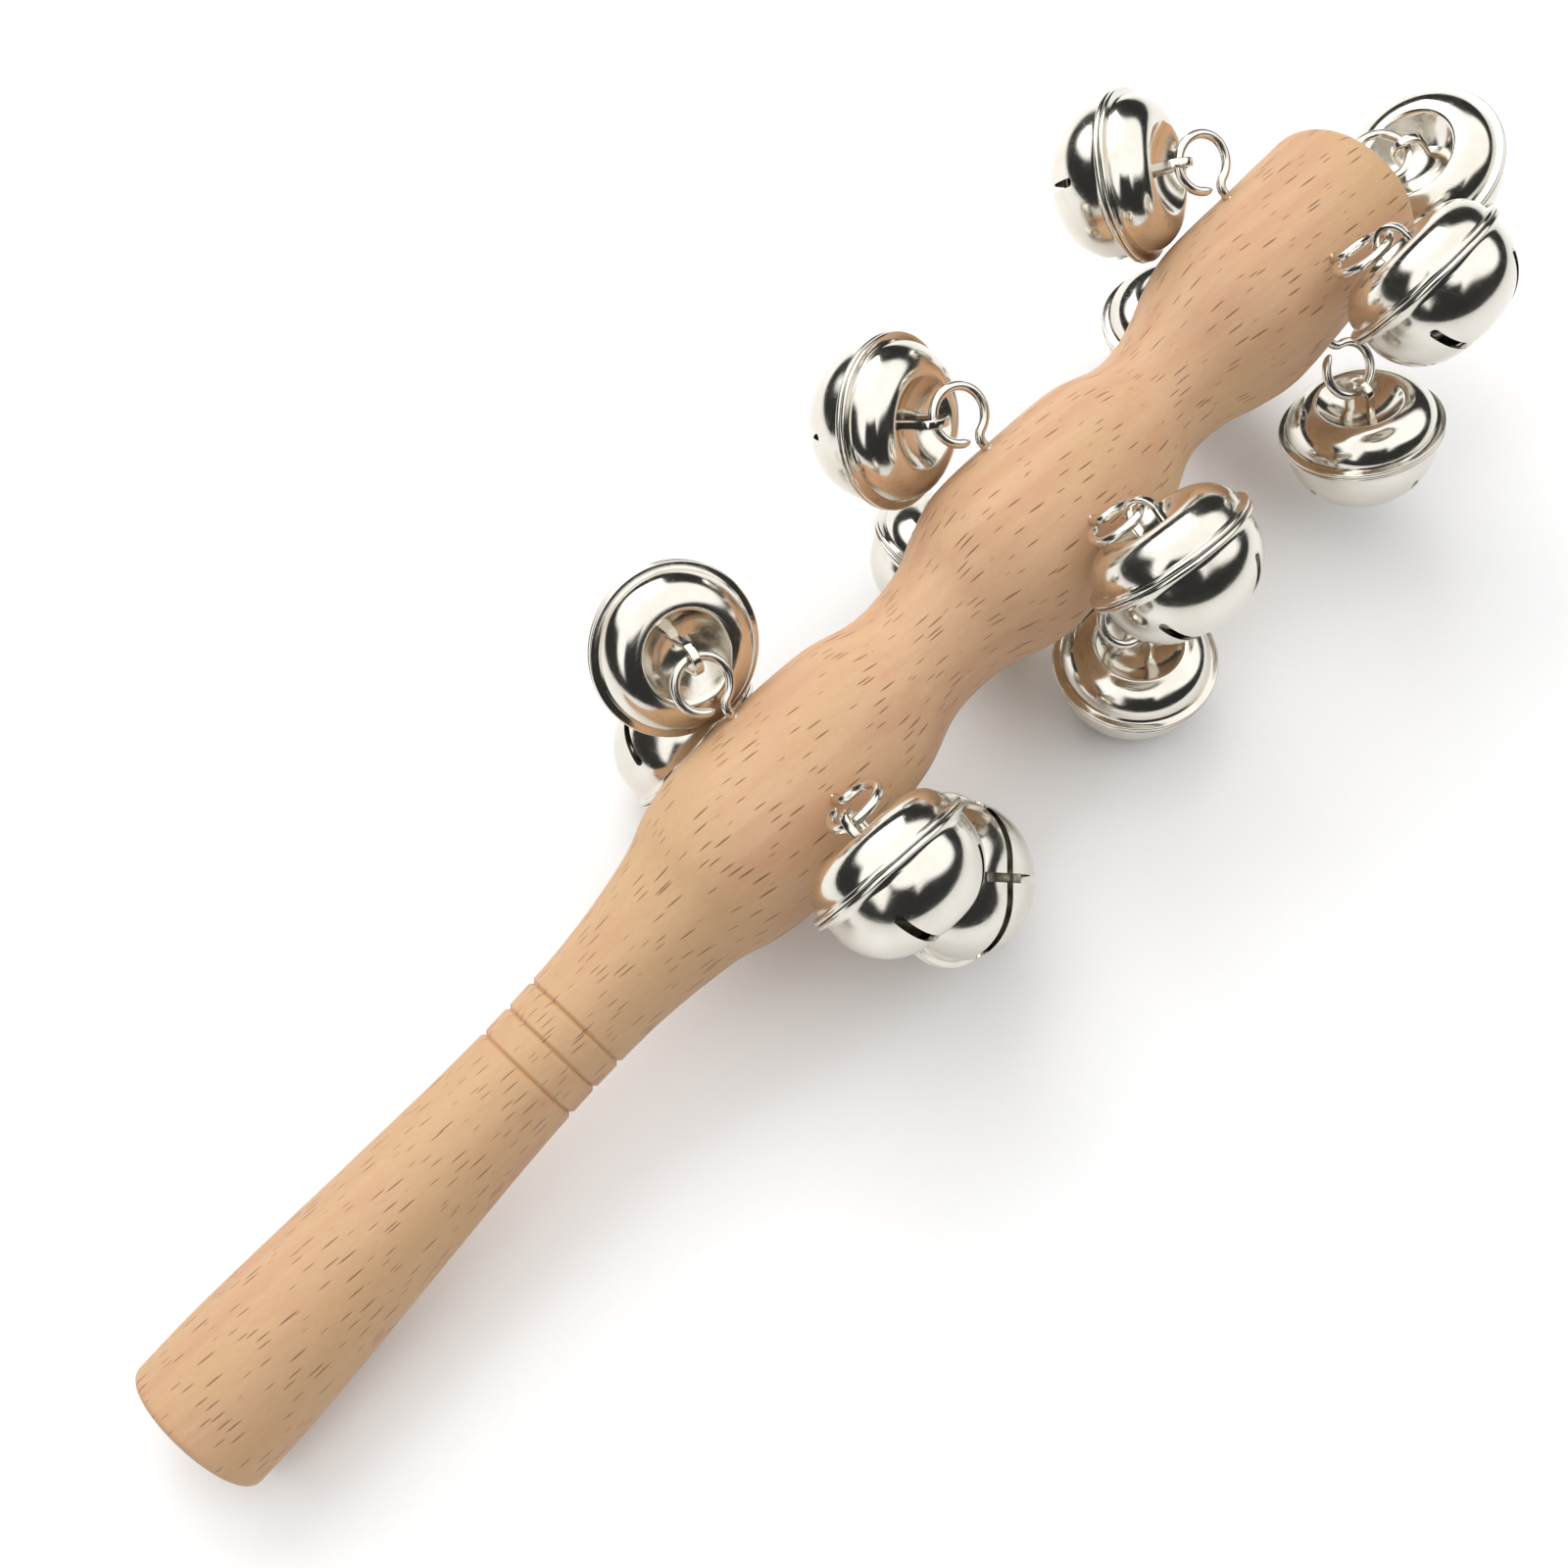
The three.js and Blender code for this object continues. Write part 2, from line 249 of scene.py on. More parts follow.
# The grain follows the stick, whose frame is stickFrame.
def makeBeech(stickFrame):
    material, nodes, shader = newMaterial("turned_beech")
    fromButt = nodes.vector("SUBTRACT", ownMillimetres(nodes), tuple(stickFrame.translation / mm))
    place = nodes.add("ShaderNodeVectorRotate", {"rotation_type": "EULER_XYZ", "invert": True},
                      Vector=fromButt, Rotation=tuple(stickFrame.to_euler())).outputs[0]
    sloped = nodes.add("ShaderNodeVectorRotate", {"rotation_type": "Z_AXIS"},
                       Vector=place, Angle=beech["raySlope"]).outputs[0]

    # rays: long cells unrolled round the stick, each with its own size. The join is underneath.
    parts = nodes.add("ShaderNodeSeparateXYZ", Vector=place).outputs
    around = nodes.math("MULTIPLY", nodes.math("ARCTAN2", parts["Y"], parts["Z"]), beech["unrolledAt"])
    flat = nodes.add("ShaderNodeCombineXYZ", X=parts["X"], Y=around).outputs[0]
    leaning = nodes.add("ShaderNodeVectorRotate", {"rotation_type": "Z_AXIS"},
                        Vector=flat, Angle=beech["raySlope"]).outputs[0]
    across = 1 / beech["raySpacing"]
    cell = nodes.add("ShaderNodeTexVoronoi", {"feature": "F1", "voronoi_dimensions": "2D"}, Scale=1.0,
                     Vector=nodes.vector("MULTIPLY", leaning, (across / beech["rayLength"], across, 0)))
    own = nodes.add("ShaderNodeSeparateColor", Color=cell.outputs["Color"]).outputs[0]
    size = nodes.math("ADD", own, beech["rayLeast"])
    reach = nodes.math("MULTIPLY", size, beech["rayHalfWidth"] / beech["raySpacing"])
    edge = nodes.math("MULTIPLY", reach, beech["rayCore"])
    ray = nodes.math("SUBTRACT", 1.0, nodes.ramp(cell.outputs["Distance"], edge, reach))

    # year rings round a heart outside the stick
    wander = nodes.noise(nodes.vector("MULTIPLY", place, beech["wanderScale"]), 1.0)
    fromHeart = nodes.vector("MULTIPLY", nodes.vector("SUBTRACT", sloped, beech["ringCentre"]), (0, 1, 1))
    stray = nodes.math("MULTIPLY", wander, beech["ringWander"])
    depth = nodes.math("ADD", nodes.vector("LENGTH", fromHeart), stray)
    wave = nodes.math("SINE", nodes.math("MULTIPLY", depth, 2 * math.pi / beech["ringSpacing"]))
    ring = nodes.ramp(wave, *beech["ringEdges"])

    def pattern(where, name):
        scale, detail, low, high = beech[name]
        return nodes.ramp(nodes.noise(nodes.vector("MULTIPLY", where, scale), 1.0, detail), low, high)

    def tinted(under, mask, tint):
        shown = nodes.math("MULTIPLY", mask, beech["strength"][tint])
        return nodes.mix(shown, under, beech[tint])

    pore = pattern(sloped, "pores")
    colour = nodes.mix(pattern(sloped, "streaks"), beech["pale"], beech["pink"])
    colour = tinted(colour, pattern(place, "patches"), "straw")
    colour = tinted(colour, pattern(sloped, "mottles"), "mottle")
    colour = tinted(colour, ring, "ring")
    colour = tinted(colour, pore, "pore")
    colour = tinted(colour, ray, "ray")
    nodes.feed(shader.inputs["Base Color"], colour)

    rub, hairlines = handlingMarks(nodes, place, beech["scratchSize"], beech["patchSize"])
    rough = nodes.math("SUBTRACT", beech["roughness"], nodes.math("MULTIPLY", rub, beech["rubbedSmooth"]))
    poreRough = nodes.math("MULTIPLY", pore, beech["poreRough"])
    nodes.feed(shader.inputs["Roughness"], nodes.math("ADD", rough, poreRough))
    rayHeight, poreHeight, hairlineHeight = (
        nodes.math("MULTIPLY", mask, beech["relief"][name])
        for mask, name in ((ray, "ray"), (pore, "pore"), (hairlines, "hairline")))
    height = nodes.math("ADD", nodes.math("ADD", rayHeight, poreHeight), hairlineHeight)
    bump = nodes.add("ShaderNodeBump", Height=height, Strength=beech["reliefStrength"],
                     Distance=beech["reliefHeight"] * mm)
    nodes.feed(shader.inputs["Normal"], bump.outputs[0])
    shader.inputs["Specular IOR Level"].default_value = beech["sheen"]
    return material


# Plated or bare metal, with rubbed patches, hairlines and a soft ripple.
def makeMetal(name, finish):
    material, nodes, shader = newMaterial(name)
    place = ownMillimetres(nodes)
    rub, hairlines = handlingMarks(nodes, place, finish["scratchSize"], metalWear["patchSize"])
    shader.inputs["Metallic"].default_value = 1.0
    warmed = nodes.math("MULTIPLY", rub, metalWear["warmth"])
    nodes.feed(shader.inputs["Base Color"], nodes.mix(warmed, finish["colour"], finish["warm"]))
    rough = nodes.math("ADD", finish["roughness"], nodes.math("MULTIPLY", rub, finish["rubbed"]))
    scratched = nodes.math("MULTIPLY", hairlines, metalWear["hairlineRough"])
    nodes.feed(shader.inputs["Roughness"], nodes.math("ADD", rough, scratched))
    ripple = nodes.math("MULTIPLY", nodes.noise(place, metalWear["rippleScale"], 1.0), finish["ripple"])
    height = nodes.math("ADD", ripple, nodes.math("MULTIPLY", hairlines, -metalWear["hairlineDepth"]))
    bump = nodes.add("ShaderNodeBump", Height=height, Strength=1.0, Distance=mm)
    nodes.feed(shader.inputs["Normal"], bump.outputs[0])
    return material


nickelPlate = makeMetal("nickel_plate", nickel)
platedWire = makeMetal("plated_wire", wire)
bareSteel = makeMetal("bare_steel", ballSteel)
print("finishes made")


# Points on an arc round (x, y), both ends included. Angles in degrees.
def arc(x, y, radius, start, end, steps):
    turns = [math.radians(start + (end - start) * i / steps) for i in range(steps + 1)]
    return [(x + radius * math.cos(turn), y + radius * math.sin(turn)) for turn in turns]


def meshFrom(name, vertices, faces):
    mesh = bpy.data.meshes.new(name)
    mesh.from_pydata([Vector(vertex) * mm for vertex in vertices], [], faces)
    mesh.validate()
    work = bmesh.new()
    work.from_mesh(mesh)
    bmesh.ops.recalc_face_normals(work, faces=work.faces)
    work.to_mesh(mesh)
    work.free()
    return mesh


# Smooth shading, with hard edges where faces meet more sharply than the angle.
def smooth(mesh, angle=40):
    mesh.polygons.foreach_set("use_smooth", [True] * len(mesh.polygons))
    mesh.set_sharp_from_angle(angle=math.radians(angle))


# A profile of (radius, height) turned about Z. Radius 0 at either end closes it with a point.
def turned(name, profile, sides):
    circle = [2 * math.pi * i / sides for i in range(sides)]
    vertices, rows = [], []
    for radius, height in profile:
        if radius < 1e-6:
            rows.append([len(vertices)] * sides)
            vertices.append((0, 0, height))
            continue
        rows.append(list(range(len(vertices), len(vertices) + sides)))
        vertices += [(radius * math.cos(turn), radius * math.sin(turn), height) for turn in circle]
    faces = []
    for low, high in zip(rows, rows[1:]):
        for i in range(sides):
            j = (i + 1) % sides
            corners = [low[i], low[j], high[j], high[i]]
            faces.append([corner for k, corner in enumerate(corners) if corner != corners[k - 1]])
    return meshFrom(name, vertices, faces)


# A bar along a path of (x, z), its section given by ring(i) as (sideways along Y, outwards) points.
def barAlong(name, path, ring):
    vertices, rows = [], []
    for i, point in enumerate(path):
        before, after = path[max(i - 1, 0)], path[min(i + 1, len(path) - 1)]
        ahead = Vector((after[0] - before[0], 0, after[1] - before[1])).normalized()
        outwards = ahead.cross(Vector((0, 1, 0)))
        section = ring(i)
        rows.append(range(len(vertices), len(vertices) + len(section)))
        vertices += [Vector((point[0], sideways, point[1])) + outwards * out for sideways, out in section]
    faces = [[*rows[0]], [*rows[-1]]]
    for low, high in zip(rows, rows[1:]):
        for i in range(len(low)):
            j = (i + 1) % len(low)
            faces.append([low[i], low[j], high[j], high[i]])
    return meshFrom(name, vertices, faces)


stick = {
    "length": 237,
    "butt": (11, 1.2),           # radius and rounding of the butt end
    "head": (12.7, 4.5),
    "grooves": (61.6, 66.2, 70.8),
    "grooveDepth": 0.5,
    "grooveHalfWidth": 0.55,
    "grooveSharpness": 1.3,      # 1 is a plain V, and more is narrower at the bottom
    "grooveSteps": 5,            # on each side of its middle
    "grooveClear": 1.4,          # half widths that the outline's own points keep away
    "sides": 160,
    "sanded": 0.3,               # taken off the radius all over, to leave the swinging bells room
    # distance from the butt and radius: a handle with a slim waist, then three swellings
    "outline": [
        (1.5, 11), (13, 10.85), (36, 9.55), (53, 8.6), (66, 8.3), (79, 8.8), (91, 10.6),
        (97, 12.6), (103, 13.8), (109, 13.9), (119, 13.4), (129, 12.3), (136, 10.2), (141, 9.8),
        (147, 10.5), (152, 12.4), (157, 13.8), (162, 14), (171, 13.3), (181, 12.1), (187, 9.9),
        (191, 9.4), (196, 10.1), (202, 12.1), (207, 13.4), (212, 13.6), (221, 13.2), (232.5, 12.7),
    ],
}


# A curve through every knot, with the knots' own spacing.
def curveThrough(knots, stepsEach):
    points = []
    for i in range(len(knots) - 1):
        p0, p1, p2, p3 = (Vector(knots[min(max(k, 0), len(knots) - 1)]) for k in (i - 1, i, i + 1, i + 2))
        for step in range(stepsEach):
            t = step / stepsEach
            points.append(tuple(p1 + (p2 - p0) * t / 2 + (2 * p0 - 5 * p1 + 4 * p2 - p3) * t * t / 2
                                + (3 * p1 - p0 - 3 * p2 + p3) * t ** 3 / 2))
    return points + [knots[-1]]


def radiusAt(points, x):
    for (x0, r0), (x1, r1) in zip(points, points[1:]):
        if x <= x1:
            return r0 + (r1 - r0) * (x - x0) / (x1 - x0)
    return points[-1][1]


def makeStick(place):
    turnedBeech = makeBeech(place)
    plain = curveThrough(stick["outline"], 10)
    half, steps = stick["grooveHalfWidth"], stick["grooveSteps"]
    clear = stick["grooveClear"] * half
    kept = [(x, r) for x, r in plain[1:-1] if all(abs(x - groove) > clear for groove in stick["grooves"])]
    for groove in stick["grooves"]:
        for step in range(-steps - 1, steps + 2):
            x = groove + step * half / steps
            cut = max(0, 1 - abs(step) / steps) ** stick["grooveSharpness"] * stick["grooveDepth"]
            kept.append((x, radiusAt(plain, x) - cut))
    (buttRadius, buttRounding), (headRadius, headRounding) = stick["butt"], stick["head"]
    length = stick["length"]
    profile = [(0, 0), (buttRadius * 0.5, 0)]
    profile += arc(buttRadius - buttRounding, buttRounding, buttRounding, -90, 0, 8)
    profile += [(r, x) for x, r in sorted(kept)]
    profile += arc(headRadius - headRounding, length - headRounding, headRounding, 0, 90, 16)
    profile += [(headRadius * 0.3, length), (0, length)]
    profile = [(max(0, radius - stick["sanded"]), x) for radius, x in profile]
    mesh = turned("turned_stick", profile, stick["sides"])
    mesh.transform(Matrix.Rotation(math.radians(90), 4, "Y"))
    smooth(mesh)
    return newPiece("turned_stick", mesh, turnedBeech, place, "stick_and_eyes", "wood", "stick")


# A piece of its own from a shape, put in place in its vertices, so that its box is its true box.
def newPiece(name, mesh, material, place, body, slot, *replaced):
    own = mesh.copy()
    own.name = name
    own.transform(place)
    own.materials.append(material)
    piece = bpy.data.objects.new(name, own)
    scene.collection.objects.link(piece)
    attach(piece, body)
    if replaced:
        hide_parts(*replaced)
    return piece


# The stick's own frame: X along it from the middle of its butt face, Y level.
def stickPlace():
    mount = next(mount for mount in frame["record"]["mounts"] if mount["name"] == "butt_face")
    along = -Vector(mount["axis"]).normalized()
    level = Vector((0, 1, 0))
    return Matrix.Translation(Vector(mount["pos_m"])) @ framed(along, level, along.cross(level))


def framed(x, y, z):
    return Matrix((x, y, z)).transposed().to_4x4()


eye = {
    "wire": 0.7,             # radius
    "ring": 3.95,            # radius of the ring's centre line
    "lift": 6.1,             # ring centre above the wood
    "opening": 18,           # degrees that the ring stops short of its neck
    "joins": -74,            # where the neck's bend meets the ring, in degrees
    "neckFoot": 0.2,         # start of the bend above the thread
    "neckPulls": (0.8, 0.6),         # how stiffly the bend leaves the foot and meets the ring
    "pinch": (0.35, 0.75, 0.93),     # how the wire's ends round off, step by step
    "thread": 0.85,          # radius over the thread
    "pitch": 1.15,
    "crest": 1.6,            # ridge above its root, over how far the thread stands out of the wire
    "root": 0.6,             # root below the wire's surface, likewise
    "fade": 0.6,             # length over which the thread runs out
    "threadTop": 0.5,        # where the thread runs out above the wood
    "depth": 8,
    "sides": 20,
}


# A point on a smooth bend between two ends, pulled towards two handles.
def bend(ends, handles, t):
    a, d = (Vector(end) for end in ends)
    b, c = (Vector(handle) for handle in handles)
    return tuple(a * (1 - t) ** 3 + b * 3 * t * (1 - t) ** 2 + c * 3 * t * t * (1 - t) + d * t ** 3)


def eyeMesh():
    ring, lift, sides = eye["ring"], eye["lift"], eye["sides"]
    joins = math.radians(eye["joins"])
    foot = (0, eye["threadTop"] + eye["neckFoot"])
    x, z = ring * math.cos(joins), lift + ring * math.sin(joins)
    ahead = (-math.sin(joins), math.cos(joins))
    footPull, ringPull = eye["neckPulls"]
    handles = ((0, foot[1] + footPull), (x - ringPull * ahead[0], z - ringPull * ahead[1]))
    depth, top = eye["depth"], foot[1]
    shankSteps = 60
    path = [(0, -depth + (depth + top) * i / shankSteps) for i in range(shankSteps)]
    path += [bend((foot, (x, z)), handles, i / 8) for i in range(8)]
    path += arc(0, lift, ring, eye["joins"], 270 - eye["opening"], 56)

    def section(i):
        height = path[i][1]
        threaded = i < shankSteps and height < eye["threadTop"]
        fromEnd = min(i, len(path) - 1 - i)
        pinch = eye["pinch"][fromEnd] if fromEnd < len(eye["pinch"]) else 1.0
        points = []
        for k in range(sides):
            turn = 2 * math.pi * k / sides
            radius = eye["wire"]
            if threaded:
                ridge = math.cos(turn - 2 * math.pi * height / eye["pitch"])
                fade = min(1, (eye["threadTop"] - height) / eye["fade"])
                rise = max(0, ridge) ** 2 * eye["crest"] - eye["root"]
                radius += (eye["thread"] - eye["wire"]) * rise * fade
            points.append((radius * pinch * math.cos(turn), radius * pinch * math.sin(turn)))
        return points

    mesh = barAlong("screw_eye", path, section)
    smooth(mesh, 50)
    return mesh


# An eye's frame as the CAD has it: Z out of the wood from its surface, X along the ring.
def eyePlace(name, fromStick):
    back = fromStick.inverted()
    points = [back @ vertex.co for vertex in frame["nodes"][name + "_eye"].data.vertices]
    middle = sum(points, Vector()) / len(points)
    if name == "tip":
        root = min(points, key=lambda point: point.x)
        out, ringAcross = Vector((1, 0, 0)), Vector((0, -1, 0))
    else:
        root = min(points, key=lambda point: math.hypot(point.y, point.z))
        out, ringAcross = Vector((0, middle.y, middle.z)).normalized(), Vector((1, 0, 0))
    base = root + out * eye["depth"] * mm
    return fromStick @ Matrix.Translation(base) @ framed(ringAcross, out.cross(ringAcross), out)


bell = {
    "radius": 12.3,          # over the crimped seam
    "seam": 0.75,            # thickness of each half's flange
    "seamRounding": 0.26,
    "seamGap": 0.05,         # half the groove between the flanges
    "seamRoots": (0.2, 0.25),        # how far inside and outside the waist a flange's two faces start
    "wall": 0.6,
    "waist": 11.2,           # radius beside the seam
    "lip": 6.5,              # radius of the dimple's edge
    "top": 5.4,              # above the seam plane
    "lipRounding": 1.0,
    "dimple": 2.5,           # the dimple's floor above the seam plane
    "bottom": 11,            # below the seam plane
    "bottomBend": 8.7,
    "fillet": 0.35,          # below the lower flange
    "straightSide": (1.6, 1.2),      # below the seam plane, outside and inside
    "dishInside": 0.93,      # share of the dish that its underside follows
    "slot": 1.3,
    "slotTop": 5,
    "sides": 128,
}

hanger = {
    "width": 1.3,            # of the strip it is bent from
    "thick": 0.8,
    "rounding": 0.22,
    "reach": 2.5,            # outer half width
    "crown": 8.9,            # its highest point above the seam plane
    "sunk": 2.3,
}


# A flange's section from the wall out and back, between two heights.
def flange(low, high):
    radius, r = bell["radius"], bell["seamRounding"]
    inwards, outwards = bell["seamRoots"]
    return [(bell["waist"] - inwards, low), *arc(radius - r, low + r, r, -90, 0, 5),
            *arc(radius - r, high - r, r, 0, 90, 5), (bell["waist"] + outwards, high)]


# Upper half: shoulder, rounded lip and dished dimple, with the flange round its open side.
def upperShellMesh():
    lip, top, floor, r = bell["lip"], bell["top"], bell["dimple"], bell["lipRounding"]
    shoulder = bell["waist"] - lip
    shoulderHeight = top - shoulder
    dish = (lip ** 2 + (top - floor) ** 2) / (2 * (top - floor))

    # the lip's rounding touches the shoulder from inside and the dish from outside
    heart, bowl = Vector((lip, shoulderHeight)), Vector((0, floor + dish))
    apart = (heart - bowl).length
    onward = (heart - bowl) / apart
    a = ((dish + r) ** 2 - (shoulder - r) ** 2 + apart ** 2) / (2 * apart)
    rounding = bowl + onward * a + Vector((-onward.y, onward.x)) * math.sqrt((dish + r) ** 2 - a ** 2)
    outer = math.degrees(math.atan2(*reversed(rounding - heart)))
    inner = math.degrees(math.atan2(*reversed(bowl - rounding)))
    bowlEnd = inner - 180

    wall = bell["wall"]
    profile = arc(*bowl, dish + wall, -90, -90 + (bowlEnd + 90) * bell["dishInside"], 10)
    profile += arc(*heart, shoulder - wall, 70, 0, 10)
    profile += [(bell["waist"] - wall, bell["seamGap"])]
    profile += flange(bell["seamGap"], bell["seam"])
    profile += arc(*heart, shoulder, 2, outer, 18)
    profile += arc(*rounding, r, outer, inner, 8)[1:]
    profile += arc(*bowl, dish, bowlEnd, -90, 14)[1:]
    profile[0] = (0, profile[0][1])
    profile[-1] = (0, profile[-1][1])
    mesh = turned("upper_shell", profile, bell["sides"])
    smooth(mesh)
    return mesh


# Lower half before its slots are cut.
def lowerShellMesh():
    waist, wall, r = bell["waist"], bell["wall"], bell["bottomBend"]
    corner = (waist - r, r - bell["bottom"])
    outside, inside = bell["straightSide"]
    profile = [(0, -bell["bottom"]), (corner[0] * 0.5, -bell["bottom"])]
    profile += arc(*corner, r, -90, 0, 26)
    profile += [(waist, -outside), (waist, -bell["seam"] - bell["fillet"])]
    profile += [(x, -z) for x, z in reversed(flange(bell["seamGap"], bell["seam"]))]
    profile += [(waist - wall, -bell["seamGap"]), (waist - wall, -inside)]
    profile += arc(*corner, r - wall, 0, -90, 20)
    profile += [(0, wall - bell["bottom"])]
    return turned("lower_shell", profile, bell["sides"])


# A saw as wide as a slot, with a round end, that reaches right across the bell.
def slotSaw(turn):
    past = 2
    half, top, reach = bell["slot"] / 2, -bell["slotTop"], bell["radius"] + past
    below = -bell["bottom"] - past
    outline = [(half, below), *arc(0, top - half, half, 0, 180, 10), (-half, below)]
    count = len(outline)
    vertices = [(x, y, z) for x in (-reach, reach) for y, z in outline]
    faces = [[*range(count)], [*range(count, 2 * count)]]
    faces += [[i, (i + 1) % count, (i + 1) % count + count, i + count] for i in range(count)]
    mesh = meshFrom("slot_saw", vertices, faces)
    mesh.transform(Matrix.Rotation(math.radians(turn), 4, "Z"))
    return mesh


# The mesh with others cut out of it.
def cutBy(mesh, saws):
    work = bpy.data.objects.new("work", mesh)
    scene.collection.objects.link(work)
    helpers = [work]
    for saw in saws:
        helper = bpy.data.objects.new("saw", saw)
        scene.collection.objects.link(helper)
        helpers.append(helper)
        cut = work.modifiers.new("cut", "BOOLEAN")
        cut.object = helper
        cut.operation = "DIFFERENCE"
        cut.solver = "EXACT"
    done = bpy.data.meshes.new_from_object(work.evaluated_get(bpy.context.evaluated_depsgraph_get()))
    for helper in helpers:
        bpy.data.objects.remove(helper)
    return done


def hangerMesh():
    across, half, r = hanger["width"] / 2, hanger["thick"] / 2, hanger["rounding"]
    section = [point for quarter, (y, out) in enumerate(((1, 1), (-1, 1), (-1, -1), (1, -1)))
               for point in arc(y * (across - r), out * (half - r), r, 90 * quarter, 90 * quarter + 90, 3)]
    bow = hanger["reach"] - half
    spring = hanger["crown"] - hanger["reach"]
    legSteps = 6
    leg = [hanger["sunk"] + (spring - hanger["sunk"]) * i / legSteps for i in range(legSteps)]
    path = [(bow, z) for z in leg] + arc(0, spring, bow, 0, 180, 24) + [(-bow, z) for z in reversed(leg)]
    mesh = barAlong("strip_hanger", path, lambda i: section)
    smooth(mesh)
    return mesh


ball = {
    "radius": 2.2,
    "unevenness": 0.05,
    "flats": 1.7,            # how often it strays round the ball, broadly and finely
    "dents": 5,
    "dentShare": 0.4,
}


# A tumbled steel ball: not quite round, with small flats.
def ballMesh():
    work = bmesh.new()
    bmesh.ops.create_icosphere(work, subdivisions=4, radius=1)
    for vertex in work.verts:
        lump = noise.noise(vertex.co * ball["flats"])
        lump += ball["dentShare"] * noise.noise(vertex.co * ball["dents"])
        vertex.co *= (ball["radius"] - ball["unevenness"] * (1 - lump)) * mm
    mesh = bpy.data.meshes.new("rattling_ball")
    work.to_mesh(mesh)
    work.free()
    smooth(mesh)
    return mesh


# The middle of a node's surface.
def middleOf(node):
    faces = frame["nodes"][node].data.polygons
    return sum((face.center * face.area for face in faces), Vector()) / sum(face.area for face in faces)


# A bell's frame as the CAD has it: Z from its bottom to its loop, the seam at 0, Y through the loop.
def bellPlace(name):
    cap, cup = name + "_cap", name + "_cup"
    start = middleOf(cup)
    up = (middleOf(cap) - start).normalized()
    lowest = min((vertex.co - start).dot(up) for vertex in frame["nodes"][cup].data.vertices)
    centre = start + up * (lowest + bell["bottom"] * mm)
    wireAxis = Vector(joints["swing_" + name]["axis"])
    along = (wireAxis - up * wireAxis.dot(up)).normalized()
    return Matrix.Translation(centre) @ framed(along.cross(up), along, up)


def makeBell(name, place, shapes):
    nickelled = (nickelPlate, place, "bell_" + name, "bell_nickel")
    newPiece(name + "_upper_shell", shapes["upper"], *nickelled, name + "_cap")
    newPiece(name + "_strip_hanger", shapes["hanger"], *nickelled)
    newPiece(name + "_lower_shell", shapes["lower"], *nickelled, name + "_cup")
    low, high = (Vector(corner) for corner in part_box(name + "_pellet"))
    inside = Matrix.Translation((low + high) / 2)
    newPiece(name + "_ball", shapes["ball"], bareSteel, inside, "pellet_" + name, "pellet_steel",
             name + "_pellet")


stickFrame = stickPlace()
makeStick(stickFrame)
print("stick made")

screwEye = eyeMesh()
for name in bellNames:
    newPiece(name + "_screw_eye", screwEye, platedWire, eyePlace(name, stickFrame), "stick_and_eyes",
             "eye_wire", name + "_eye")
print("screw eyes made")

lower = cutBy(lowerShellMesh(), [slotSaw(0), slotSaw(90)])
smooth(lower)
bellShapes = {"upper": upperShellMesh(), "lower": lower, "hanger": hangerMesh(), "ball": ballMesh()}
for name in bellNames:
    makeBell(name, bellPlace(name), bellShapes)
print("bells made")


studio = {
    "floor": (0.93, 0.93, 0.93, 1),
    "fibre": (0.95, 0.95, 0.95, 1),
    "fibreScale": 900.0,
    "floorRoughness": 0.9,
    "floorSheen": 0.1,
    "floorSize": 6.0,
    "dome": 1.42,
    "dark": 0.025,               # the room beyond the light tent, as the metal sees it
    "lowOpening": 0.42,          # height of the low openings, where straight up is 1
    "lowWaves": 3.0,             # how often their edge rises and falls round the tent
    "waveHeight": 0.20,
    "lowEdge": 0.14,             # how soft it is
    "tallSides": (0.38, 0.50),   # radians from the middle of the tall opening to its soft sides
    "tallTop": (0.76, 0.84),
    "windowPlace": (0.16, 0.50, 0.55),
    "windowSize": 0.6,
    "windowPower": 3.0,
}

camera = {
    "place": (-0.0880, -0.0771, 0.2656),
    "target": (-0.0148, 0.0032, 0.0199),
    "lens": 43.7,
    "roll": -4.8,                # degrees
    "sensor": 36,
    "near": 0.01,
}


def makeFloor():
    half = studio["floorSize"] / 2
    mesh = bpy.data.meshes.new("floor")
    corners = [(-half, -half, 0), (half, -half, 0), (half, half, 0), (-half, half, 0)]
    mesh.from_pydata(corners, [], [(0, 1, 2, 3)])
    material, nodes, shader = newMaterial("white_paper")
    place = nodes.add("ShaderNodeTexCoord").outputs["Object"]
    fibre = nodes.noise(place, studio["fibreScale"], 3.0)
    nodes.feed(shader.inputs["Base Color"], nodes.mix(fibre, studio["floor"], studio["fibre"]))
    shader.inputs["Roughness"].default_value = studio["floorRoughness"]
    shader.inputs["Specular IOR Level"].default_value = studio["floorSheen"]
    mesh.materials.append(material)
    floor = bpy.data.objects.new("paper_floor", mesh)
    scene.collection.objects.link(floor)


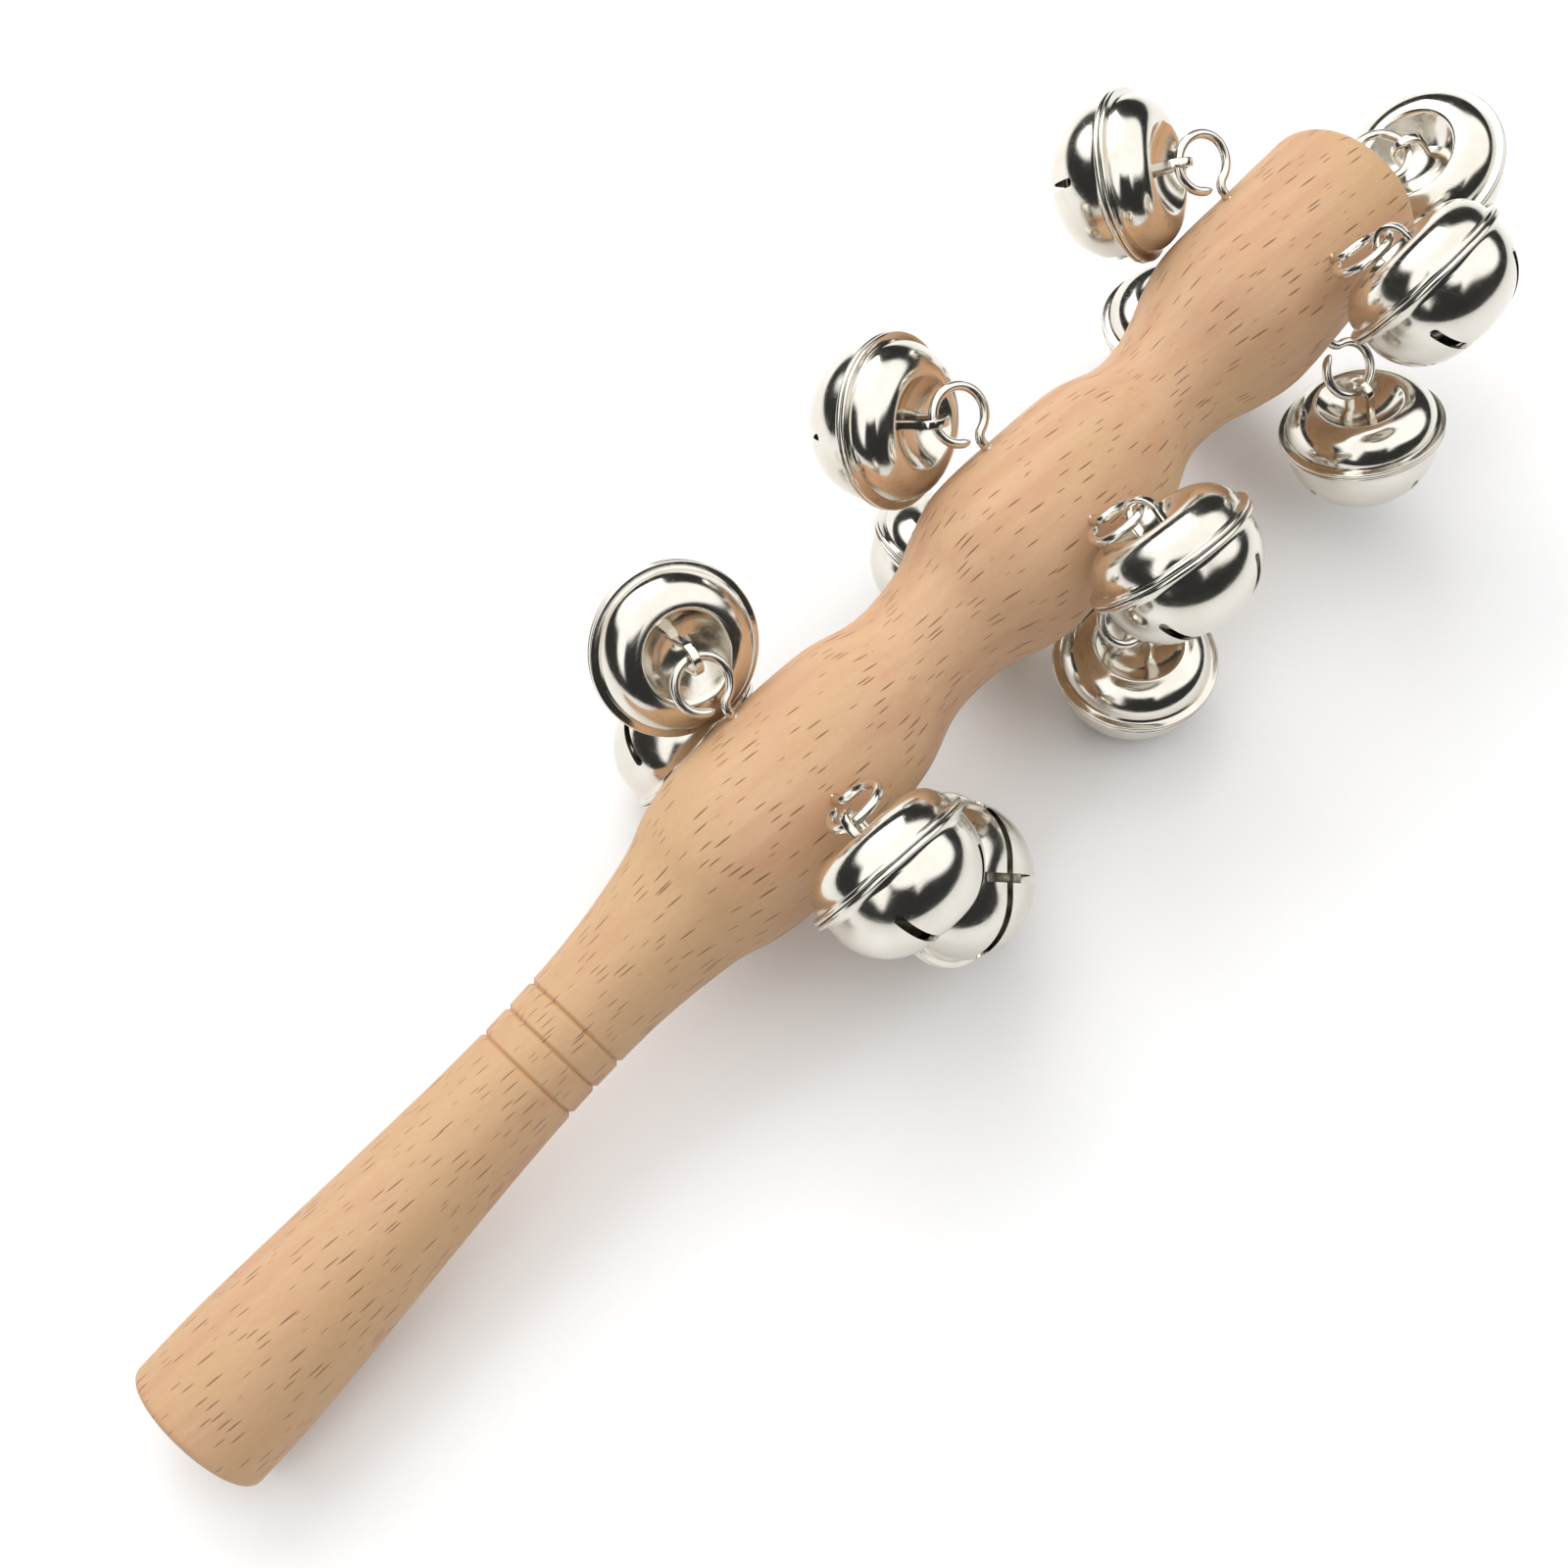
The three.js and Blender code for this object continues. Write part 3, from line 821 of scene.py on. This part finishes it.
# A white tent with dark openings low down, and a tall one behind the camera.
def makeWorld():
    world = bpy.data.worlds.new("light_tent")
    world.use_nodes = True
    scene.world = world
    nodes = Nodes(world.node_tree)
    background = world.node_tree.nodes["Background"]
    direction = nodes.vector("NORMALIZE", nodes.add("ShaderNodeTexCoord").outputs["Generated"])
    parts = nodes.add("ShaderNodeSeparateXYZ", Vector=direction).outputs
    turn = nodes.math("ARCTAN2", parts["Y"], parts["X"])

    sway = nodes.math("SINE", nodes.math("MULTIPLY", turn, studio["lowWaves"]))
    ceiling = nodes.math("ADD", studio["lowOpening"], nodes.math("MULTIPLY", sway, studio["waveHeight"]))
    low = nodes.ramp(parts["Z"], ceiling, nodes.math("ADD", ceiling, studio["lowEdge"]))
    away = Vector(camera["place"]) - Vector(camera["target"])
    aside = nodes.math("ABSOLUTE", nodes.math("SUBTRACT", turn, math.atan2(away.y, away.x)))
    narrow = nodes.ramp(aside, *studio["tallSides"])
    high = nodes.ramp(parts["Z"], *studio["tallTop"])
    lit = nodes.math("MULTIPLY", low, nodes.math("MAXIMUM", narrow, high))
    seen = nodes.add("ShaderNodeLightPath").outputs["Is Camera Ray"]
    lit = nodes.math("MAXIMUM", lit, seen)
    nodes.feed(background.inputs["Color"], nodes.mix(lit, (studio["dark"],) * 3 + (1,), (1, 1, 1, 1)))
    background.inputs["Strength"].default_value = studio["dome"]


def makeWindow():
    light = bpy.data.lights.new("soft_window", "AREA")
    light.shape = "SQUARE"
    light.size = studio["windowSize"]
    light.energy = studio["windowPower"]
    lamp = bpy.data.objects.new("soft_window", light)
    lamp.location = studio["windowPlace"]
    lamp.rotation_euler = Vector(studio["windowPlace"]).to_track_quat("Z", "Y").to_euler()
    scene.collection.objects.link(lamp)


def makeCamera():
    data = bpy.data.cameras.new("camera")
    data.sensor_width = camera["sensor"]
    data.lens = camera["lens"]
    data.clip_start = camera["near"]
    seat = Vector(camera["place"])
    back = (seat - Vector(camera["target"])).normalized()
    level = Vector((0, 0, 1)).cross(back).normalized()
    upright = back.cross(level)
    roll = math.radians(camera["roll"])
    right = level * math.cos(roll) + upright * math.sin(roll)
    holder = bpy.data.objects.new("camera", data)
    holder.matrix_world = Matrix.Translation(seat) @ framed(right, back.cross(right), back)
    scene.collection.objects.link(holder)
    scene.camera = holder


makeFloor()
makeWorld()
makeWindow()
makeCamera()
scene.view_settings.view_transform = "Standard"
print("studio made")

bpy.context.view_layer.update()
